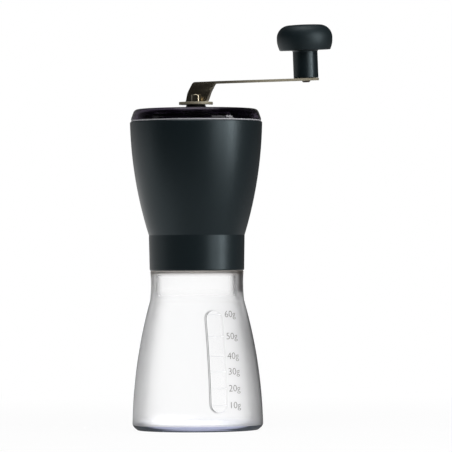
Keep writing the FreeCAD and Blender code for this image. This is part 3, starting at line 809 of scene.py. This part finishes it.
def pill_rows(scale, inset):
    """Heights in the window and its half width there, in millimetres, both a little less by the inset."""
    half = scale.width / 2 / MM
    low, high = (scale.middle + side * scale.height / 2 for side in (-1, 1))
    low, high = low / MM + half, high / MM - half
    size = half - inset
    ends = [math.radians(90 * i / 10) for i in range(11)]
    rows = [(low - size * math.cos(t), size * math.sin(t)) for t in ends]
    rows += [(low + (high - low) * i / 16, size) for i in range(1, 16)]
    return rows + [(high + size * math.sin(t), size * math.cos(t)) for t in ends]


class MILL_OT_scale(bpy.types.Operator):
    """Mould the marks in the window and print the numbers beside it"""
    bl_idname = "mill.scale"
    bl_label = "Gram scale"

    def execute(self, context):
        scale = context.scene.mill_scale
        heights = {60: 61.3, 50: 49.8, 40: 39.5, 30: 31.4, 20: 22.6, 10: 13.8}
        self.marks(scale, heights.values())
        self.numbers(scale, heights)
        return {"FINISHED"}

    def marks(self, scale, heights):
        """A low ridge across the window for each ten grams."""
        gap, proud, sunk = 0.1, 0.16, 0.02
        half = scale.width / 2 / MM
        low, high = ((scale.middle + side * scale.height / 2) / MM for side in (-1, 1))
        widths = []
        for z in heights:
            over = max(z - (high - half), (low + half) - z, 0.0)
            widths.append(2 * math.sqrt(half ** 2 - over ** 2) * MM - gap * MM)
        mesh = plain_mesh("marks", [(0, -scale.depth / MM + proud / 2 - sunk, z) for z in heights])
        mesh.attributes.new("width", "FLOAT", "POINT").data.foreach_set("value", widths)
        bars = TREES["marks"].applied(mesh, Angle=scale.angle, Thickness=scale.mark, Proud=proud * MM)
        piece("gram_marks", tidied(bars), "jar", "frosted_plastic").data.materials[0] = finish_of("marks")

    def numbers(self, scale, heights):
        """The number of grams to the right of each mark."""
        work = bmesh.new()
        for grams, z in heights.items():
            words = bpy.data.curves.new("number", "FONT")
            words.body = f"{grams}g"
            words.size = 1.0
            words.offset = -0.012
            words.extrude = 0.006
            words.resolution_u = 4
            flat = baked(linked("number", words))
            bpy.data.curves.remove(words)
            size = scale.digit / max(vert.co.y for vert in flat.vertices)
            wide, lift, over = 1.06, 0.035 * MM, 0.2 * MM
            low = z * MM + over - scale.digit / 2
            start = scale.number_gap + (max(heights.values()) - z) * MM * scale.number_lean
            flat.transform(Matrix(((size * wide, 0, 0, start), (0, 0, size, lift), (0, size, 0, low),
                                   (0, 0, 0, 1))))
            work.from_mesh(flat)
        flat = bpy.data.meshes.new("numbers")
        work.to_mesh(flat)
        work.free()
        bent = TREES["wrapping"].applied(flat, Angle=scale.angle)
        piece("gram_numbers", tidied(bent), "jar", "frosted_plastic").data.materials[0] = finish_of("print")


class MILL_OT_body(bpy.types.Operator):
    """Turn the slate body with its hopper, funnel, burr housing and collar"""
    bl_idname = "mill.body"
    bl_label = "Hopper body"

    def execute(self, context):
        edge = context.scene.mill_shells.edge / MM
        funnel_top, seat, roof, foot = 114.7, 105.2, SHOULDER_Z + 17.2, SHOULDER_Z + 3.7
        burr_r, housing_r, throat_r = 19.0, 20.5, 17.8
        inner_middle = (funnel_top + RIM_Z) / 2
        hopper_r = BODY_SKIN(funnel_top) - BODY_WALL
        shell = turned("body", [
            (SKIRT_R, SHOULDER_Z, edge), (COLLAR_R - 0.8, SHOULDER_Z), (COLLAR_R - 0.35, SHOULDER_Z + 0.45, edge),
            (COLLAR_R, COLLAR_TOP_Z, 0.8),
            (BODY_SKIN(COLLAR_TOP_Z + 1.0), COLLAR_TOP_Z + 1.0),
            (BODY_SKIN(RIM_Z - 0.5), RIM_Z - 0.5, (BODY_SKIN(BODY_MID_Z), BODY_MID_Z)),
            (RIM_R - 0.5, RIM_Z, edge), (RIM_R - BODY_WALL, RIM_Z, edge),
            (hopper_r, funnel_top, (BODY_SKIN(inner_middle) - BODY_WALL, inner_middle)),
            (throat_r, seat + 1.0, 2 * edge), (throat_r, seat), (burr_r, seat), (burr_r, foot, edge),
            (housing_r, foot, edge), (housing_r, roof, 2 * edge), (SKIRT_R, roof, 2 * edge),
        ], True)
        key = ringed(block("keys", (18.2, -1.3, 91.8), (19.4, 1.3, seat + 0.1)), 3)
        slots = ringed(block("slots", (5.0, -1.22, 109.7), (hopper_r + 0.82, 1.22, RIM_Z + 1)), 3, 60)
        shell = tidied(carved(carved(shell, tidied(key), "UNION"), tidied(slots)))
        piece("slate_body", shell, "head", "slate_plastic", "hopper_body")
        return {"FINISHED"}


class MILL_OT_lid(bpy.types.Operator):
    """Turn the smoke lid with its rounded edge and plug skirt"""
    bl_idname = "mill.lid"
    bl_label = "Lid"

    def execute(self, context):
        edge = context.scene.mill_shells.edge / MM
        skirt_z = RIM_Z - 5.5
        skirt = BODY_SKIN(skirt_z) - BODY_WALL - 0.3
        skirt_in = skirt - 1.4
        inner_top = LID_TOP_Z - 1.4
        boss_r, boss_z, hole_r = 7.55, inner_top - 1.4, 5.95
        shell = turned("lid", [
            (hole_r, LID_TOP_Z, 0.4), (LID_R - 1.95, LID_TOP_Z - 0.25, 2.6), (LID_R - 0.3, RIM_Z + 2.05, 2.5),
            (LID_R, LIGHT_LIP_TOP_Z, edge), (LIGHT_LIP_R - 1.0, LIGHT_LIP_TOP_Z), (LIGHT_LIP_R - 1.0, RIM_Z),
            (RIM_R - BODY_WALL - 0.2, RIM_Z, edge), (skirt, skirt_z, edge),
            (skirt_in, skirt_z, edge), (skirt_in, inner_top - 2.6),
            (skirt_in - 2.6, inner_top, (skirt_in - 0.76, inner_top - 0.76)),
            (boss_r, inner_top, edge), (boss_r, boss_z, edge), (hole_r, boss_z, edge),
        ], True)
        piece("smoke_lid", shell, "lid", "smoke_plastic", "lid")
        # Painted light: a pale ring under the lid's edge, standing for light that shines through the lid's clear
        # flange
        lip_high, lip_in, soft = LIGHT_LIP_TOP_Z - 0.05, LIGHT_LIP_R - 0.95, 0.12
        light_lip = turned("light_lip", [(LIGHT_LIP_R, RIM_Z, soft), (LIGHT_LIP_R, lip_high, soft), (lip_in, lip_high, soft),
                               (lip_in, RIM_Z, soft)], True)
        piece("lid_light_lip", light_lip, "lid", "smoke_plastic").data.materials[0] = finish_of("light_lip")
        return {"FINISHED"}


class MILL_OT_knob(bpy.types.Operator):
    """Turn the mushroom knob and stand it square on the arm"""
    bl_idname = "mill.knob"
    bl_label = "Knob"

    def execute(self, context):
        edge = context.scene.mill_shells.edge / MM
        cap, widest, top, bore_end = 15.4, 21.7, 29.68, 25.6
        washer_r, washer_z, stem_r, foot = 5.6, 0.45, 6.85, 0.1
        shell = turned("knob", [
            (PIN_BORE_R, washer_z, edge), (washer_r, washer_z), (washer_r, foot), (stem_r, foot, 0.35),
            (stem_r, cap, 0.9), (14.0, cap, 0.7), (14.3, cap + 0.9),
            (15.35, widest, (15.08, cap + 3.3)), (8.75, top - 0.35, (13.6, top - 2.75)),
            (0, top - 0.06, (4.4, top - 0.15)), (0, bore_end), (PIN_BORE_R, bore_end),
        ], True)
        shell.transform(Matrix.Translation(KNOB_FOOT * MM) @ Matrix.Rotation(-KNOB_TILT, 4, "Y"))
        piece("slate_knob", shell, "knob", "slate_plastic", "knob")
        return {"FINISHED"}


class MILL_OT_crank(bpy.types.Operator):
    """Break the edges of the crank's bent strip and of its pin"""
    bl_idname = "mill.crank"
    bl_label = "Crank"

    def execute(self, context):
        ease(context, "crank", "crank_arm", "knob_pin", "pin_washer")
        ease(context, "knob", "knob_sleeve")
        self.shear(bpy.data.objects["crank_arm_eased"].data)
        bpy.data.objects["knob_pin_eased"].data.materials[0] = finish_of("pin")
        return {"FINISHED"}

    def shear(self, mesh):
        """Gives the faces that run through the sheet the finish of a blanked edge."""
        mesh.materials.append(finish_of("edge"))
        for face in mesh.polygons:
            x, y, z = face.center / MM
            foot = z < CRANK_Z + 1.5 and x < 4.0
            upright, sideways = abs(face.normal.z) < 0.4, abs(face.normal.y) > 0.6
            through = upright if foot or x > KNOB_FOOT.x else sideways
            bore = math.hypot(x, y) < 4.0 or math.hypot(x - KNOB_FOOT.x, y) < 3.0
            if through and not bore:
                face.material_index = 1


class MILL_OT_drive(bpy.types.Operator):
    """Break the edges of the shaft and of what sits on it"""
    bl_idname = "mill.drive"
    bl_label = "Shaft and hub"

    def execute(self, context):
        width = context.scene.mill_shells.burr_edge
        piece("drive_shaft_eased", eased("drive_shaft", width, self.corner), "shaft", "steel", "drive_shaft")
        ease(context, "shaft", "shaft_collar", "thrust_washer", "shaft_clip", "spring_washer")
        ease(context, "head", "hub_spider", "upper_bush", "lower_bush")
        dress("burr_spring")
        return {"FINISHED"}

    def corner(self, edge):
        """Whether an edge is one of the drive's upright corners."""
        a, b = (vert.co / MM for vert in edge.verts)
        return min(a.z, b.z) > CRANK_Z - 0.01 and (a - b).xy.length < 0.01 and abs(a.z - b.z) > 2.0


class MILL_OT_burrs(bpy.types.Operator):
    """Break the edges of the burrs and of the grind adjuster"""
    bl_idname = "mill.burrs"
    bl_label = "Burrs and adjuster"

    def execute(self, context):
        ease(context, "head", "outer_burr", "burr_retainer")
        ease(context, "burr", "inner_burr", "burr_hub", "detent_washer")
        ease(context, "adjuster", "adjuster_nut", "nut_insert")
        return {"FINISHED"}


def ease(context, body, *nodes):
    """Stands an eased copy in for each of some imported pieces."""
    for node in nodes:
        piece(f"{node}_eased", eased(node, context.scene.mill_shells.burr_edge), body, SLOTS[node], node)


def view_axes(studio):
    """The camera's backward and rightward directions, level."""
    turn = studio.azimuth
    return Vector((math.sin(turn), -math.cos(turn), 0)), Vector((math.cos(turn), math.sin(turn), 0))


def facing(where, aim):
    """The stand of a lamp or camera that looks from one point at another."""
    return Matrix.Translation(where) @ (aim - where).to_track_quat("-Z", "Y").to_matrix().to_4x4()


def lamp(name, where, aim, size, power):
    """A rectangular lamp that faces a point."""
    data = bpy.data.lights.new(name, "AREA")
    data.shape = "RECTANGLE"
    data.size, data.size_y = size
    data.energy = power
    made = linked(name, data)
    made.matrix_world = facing(where, aim)
    return made


class MILL_OT_studio(bpy.types.Operator):
    """Camera, floor, background and lamps"""
    bl_idname = "mill.studio"
    bl_label = "Studio"

    def execute(self, context):
        studio = context.scene.mill_studio
        back, right = view_axes(studio)
        self.camera(context, studio, back, right)
        self.background(context, back, right)
        self.floor(context, back, right)
        self.lamps(back, right)
        return {"FINISHED"}

    def camera(self, context, studio, back, right):
        """The photograph's view: level, far off and a little to the right of the shaft."""
        data = bpy.data.cameras.new("camera")
        data.lens = data.sensor_width * studio.distance / studio.view_width
        data.clip_end = 20
        camera = linked("camera", data)
        aside = right * 15.54 * MM
        eye = back * studio.distance + aside + Vector((0, 0, studio.eye_height))
        aim = aside + Vector((0, 0, 107.8 * MM))
        camera.matrix_world = facing(eye, aim) @ Matrix.Rotation(-studio.roll, 4, "Z")
        context.scene.camera = camera

    def background(self, context, back, right):
        """White to the camera, a white wall behind for glass and metal, and a dim room in front."""
        world = bpy.data.worlds.new("studio")
        context.scene.world = world
        finish = Finish(world)
        way = finish.node("ShaderNodeTexCoord", None, out=0)
        behind, up, aside = (finish.along(way, each) for each in (-back, (0, 0, 1), right))
        wall = behind.ramp(0.15, 0.8) * (1 - up.ramp(0.25, 0.6)) * (1 - aside.ramp(-0.1, 0.5) * 0.95)
        room = 0.02 + 0.03 * (1 - up.ramp(0.0, 0.4)) + wall * 0.15
        glass = (0.12 + behind.ramp(0.05, 0.75) * 0.88) * (1 - aside.ramp(-0.05, 0.35) * 0.85)
        camera, through = finish.rays("Camera", "Transmission")
        level = room * (1 - camera) * (1 - through) + glass * through * (1 - camera) + camera
        finish.node("ShaderNodeOutputWorld", None,
                    finish.node("ShaderNodeBackground", None, finish.grey(level), 1.0))

    def floor(self, context, back, right):
        """A pale floor that the camera sees as white, with the mill's soft shadow."""
        mesh = plain_mesh("floor", [(-6e3, -6e3, 0), (6e3, -6e3, 0), (6e3, 6e3, 0), (-6e3, 6e3, 0)],
                          faces=[(0, 1, 2, 3)])
        floor = linked("floor", mesh)
        material, finish = new_finish("pale_floor")
        where = finish.where()
        cloud = finish.noise(where, 6.0)
        colour = finish.mix(cloud, rgb(214, 214, 216), rgb(220, 220, 221))
        matt = finish.node("ShaderNodeBsdfDiffuse", None, Color=colour)
        lit = finish.node("ShaderNodeEmission", None, Color=(1, 1, 1, 1), Strength=1.0)
        camera, glossy, through = finish.rays("Camera", "Glossy", "Transmission")
        behind, aside = finish.along(where, -back), finish.along(where, -right)
        far = finish.node("ShaderNodeVectorMath", {"operation": "LENGTH"}, where, out=1)
        bright = (0.03 + (1 - far.ramp(0.15, 0.9)) * 0.45 + aside.ramp(0.0, 0.3) * behind.ramp(-0.4, 0.0)
                  + behind.ramp(-0.05, 0.3) * (0.15 + aside.ramp(-0.1, 0.2) * 0.85))
        dark = finish.node("ShaderNodeEmission", None, Color=(0, 0, 0, 1), Strength=0.0)
        mirrored = finish.node("ShaderNodeMixShader", None, bright.math("MINIMUM", 1.0), dark, lit)
        white = camera * (0.93 + far.ramp(0.1, 0.5) * 0.07) + through
        shown = finish.node("ShaderNodeMixShader", None, white, matt, lit)
        finish.surface(finish.node("ShaderNodeMixShader", None, glossy * (1 - through), shown, mirrored))
        mesh.materials.append(material)

    def lamps(self, back, right):
        """Tall soft lamps to the right, one above, and two that light the surfaces but leave no reflection."""
        middle = Vector((0, 0, 0.12))
        made_lamps = {}
        # Degrees to the right of the camera, distance and height, in metres, then size and power
        for name, turn, far, height, size, power in (
                ("key_lamp", 64, 0.9, 0.36, (0.2, 0.66), 5.2), ("side_lamp", 42, 0.95, 0.34, (0.4, 0.66), 2.6),
                ("fill_lamp", -76, 1.2, 0.6, (0.5, 0.5), 5.0)):
            way = back * math.cos(math.radians(turn)) + right * math.sin(math.radians(turn))
            made_lamps[name] = lamp(name, way * far + Vector((0, 0, height)), middle, size, power)
        rise = math.radians(55)
        front = back * math.cos(rise) + Vector((0, 0, math.sin(rise)))
        made_lamps["front_lamp"] = lamp("front_lamp", front * 1.6, middle, (1.3, 0.9), 13.0)
        for name in ("fill_lamp", "front_lamp"):
            made_lamps[name].visible_glossy = False
        lamp("top_lamp", Vector((0, 0, 1.4)) - back * 0.1, middle, (0.8, 0.8), 6.0)


class MILL_PT_panel(bpy.types.Panel):
    """The mill's pieces, in the order that they are made"""
    bl_idname = "MILL_PT_panel"
    bl_label = "Coffee Mill"
    bl_space_type = "VIEW_3D"
    bl_region_type = "UI"
    bl_category = "Coffee Mill"

    def draw(self, context):
        for operator in OPERATORS:
            self.layout.operator(operator.bl_idname)


TREES = {"turning": turning_tree(), "wrapping": wrapping_tree(), "marks": marks_tree()}
OPERATORS = (MILL_OT_jar, MILL_OT_scale, MILL_OT_body, MILL_OT_lid, MILL_OT_knob, MILL_OT_crank, MILL_OT_drive,
             MILL_OT_burrs, MILL_OT_studio)
CLASSES = (MillShells, MillScale, MillFinish, MillStudio, *OPERATORS, MILL_PT_panel)
SETTINGS = {"mill_shells": MillShells, "mill_scale": MillScale, "mill_finish": MillFinish,
            "mill_studio": MillStudio}


def register():
    for item in CLASSES:
        bpy.utils.register_class(item)
    for name, group in SETTINGS.items():
        setattr(bpy.types.Scene, name, PointerProperty(type=group))


def unregister():
    for name in SETTINGS:
        delattr(bpy.types.Scene, name)
    for item in reversed(CLASSES):
        bpy.utils.unregister_class(item)


def main():
    register()
    bpy.context.scene.view_settings.view_transform = "Standard"
    for operator in OPERATORS:
        group, name = operator.bl_idname.split(".")
        getattr(getattr(bpy.ops, group), name)()


if __name__ == "__main__":
    main()
